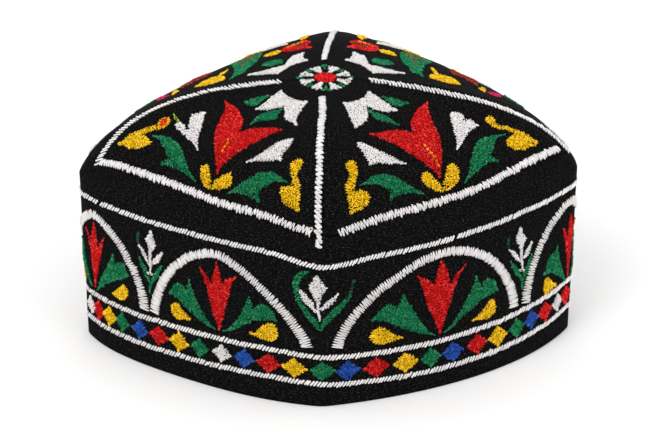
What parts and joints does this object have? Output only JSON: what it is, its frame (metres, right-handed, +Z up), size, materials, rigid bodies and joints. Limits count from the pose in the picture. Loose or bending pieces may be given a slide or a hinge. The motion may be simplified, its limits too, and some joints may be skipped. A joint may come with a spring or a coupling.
{
  "type": "tubeteika skullcap",
  "caption": "Four-cornered embroidered skullcap, with an upright band that turns over a soft fold and a domed crown of gores.",
  "frame": {"origin": "on the surface that the cap stands on, under the middle of its plan", "axes": "+Z up from the rim to the crown, front corner towards -Y, +X towards the cap's right-hand side in the front view"},
  "size_m": [0.215, 0.1924, 0.115],
  "materials": {
    "band_cloth": "matt black woven cotton",
    "gore_cloth": "matt black woven cotton",
    "white_thread": "off-white embroidery thread, satin stitched",
    "red_thread": "red embroidery thread",
    "green_thread": "green embroidery thread",
    "yellow_thread": "golden yellow embroidery thread",
    "blue_thread": "blue embroidery thread"
  },
  "bodies": {
    "root": {"band": "band_cloth", "gore_front_right": "gore_cloth", "gore_back_right": "gore_cloth", "gore_back_left": "gore_cloth", "gore_front_left": "gore_cloth"}
  },
  "joints": []
}
